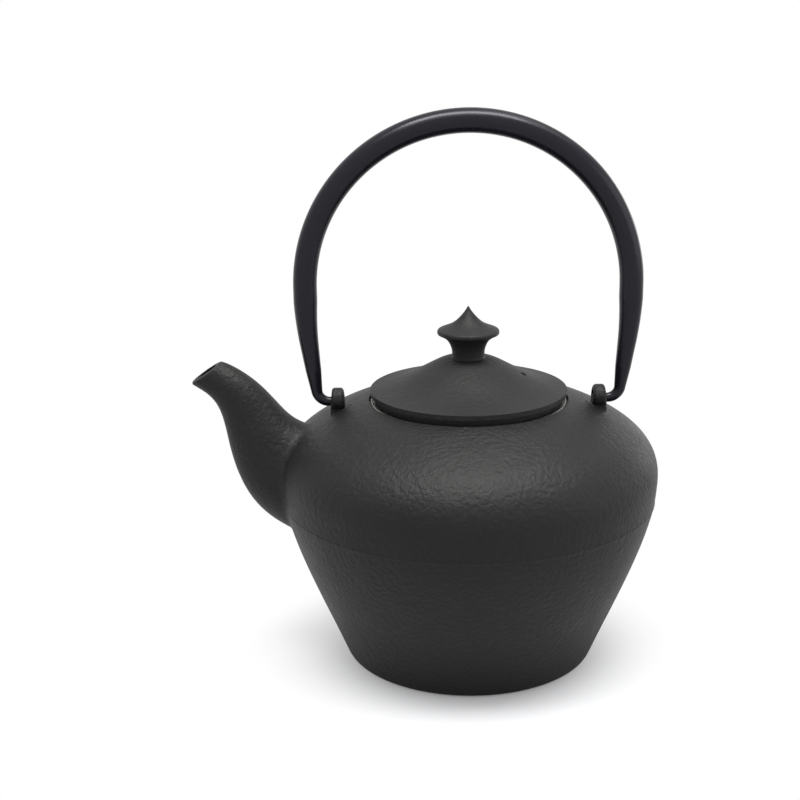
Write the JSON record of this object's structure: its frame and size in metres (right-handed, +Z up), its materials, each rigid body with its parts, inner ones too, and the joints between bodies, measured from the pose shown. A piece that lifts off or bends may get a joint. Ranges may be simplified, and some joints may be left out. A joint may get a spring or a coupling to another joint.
{
  "type": "teapot",
  "caption": "Cast iron teapot with a lift-off lid, a hanging tea strainer, a curved spout and a steel bail handle that swings about two ears.",
  "frame": {"origin": "centre of the flat foot, on the surface the pot stands on", "axes": "+Z up along the pot's axis; the spout points along -X; the bail swings about a line along X"},
  "size_m": [0.189, 0.1542, 0.2247],
  "materials": {
    "body_iron": "matt black, fine sand-cast skin",
    "lid_iron": "matt black, fine sand-cast skin",
    "knob_iron": "matt black",
    "fastener_steel": "plain stainless",
    "strainer_steel": "pressed stainless sheet",
    "strainer_mesh": "woven stainless wire",
    "handle_paint": "satin black lacquer"
  },
  "bodies": {
    "pot": {"pot_bowl": "body_iron", "pot_shoulder": "body_iron", "pot_spout_root": "body_iron", "pot_spout_neck": "body_iron"},
    "strainer": {"strainer_collar": "strainer_steel", "strainer_wall": "strainer_mesh", "strainer_base_ring": "strainer_steel", "strainer_floor": "strainer_mesh"},
    "lid_group": {"lid": "lid_iron", "knob": "knob_iron", "knob_washer": "fastener_steel", "knob_screw": "fastener_steel"},
    "handle": {"handle_tube": "handle_paint", "handle_hook_left": "handle_paint", "handle_hook_right": "handle_paint"}
  },
  "joints": [
    {"name": "handle_swing", "type": "hinge", "parent": "pot", "child": "handle", "pos_m": [0, 0, 0.10762], "axis": [1, 0, 0], "range_deg": [-106, 106]},
    {"name": "strainer_lift", "type": "slide", "parent": "pot", "child": "strainer", "axis": [0, 0, 1], "range_m": [0, 0.05]},
    {"name": "lid_lift", "type": "slide", "parent": "strainer", "child": "lid_group", "axis": [0, 0, 1], "range_m": [0, 0.016]}
  ]
}
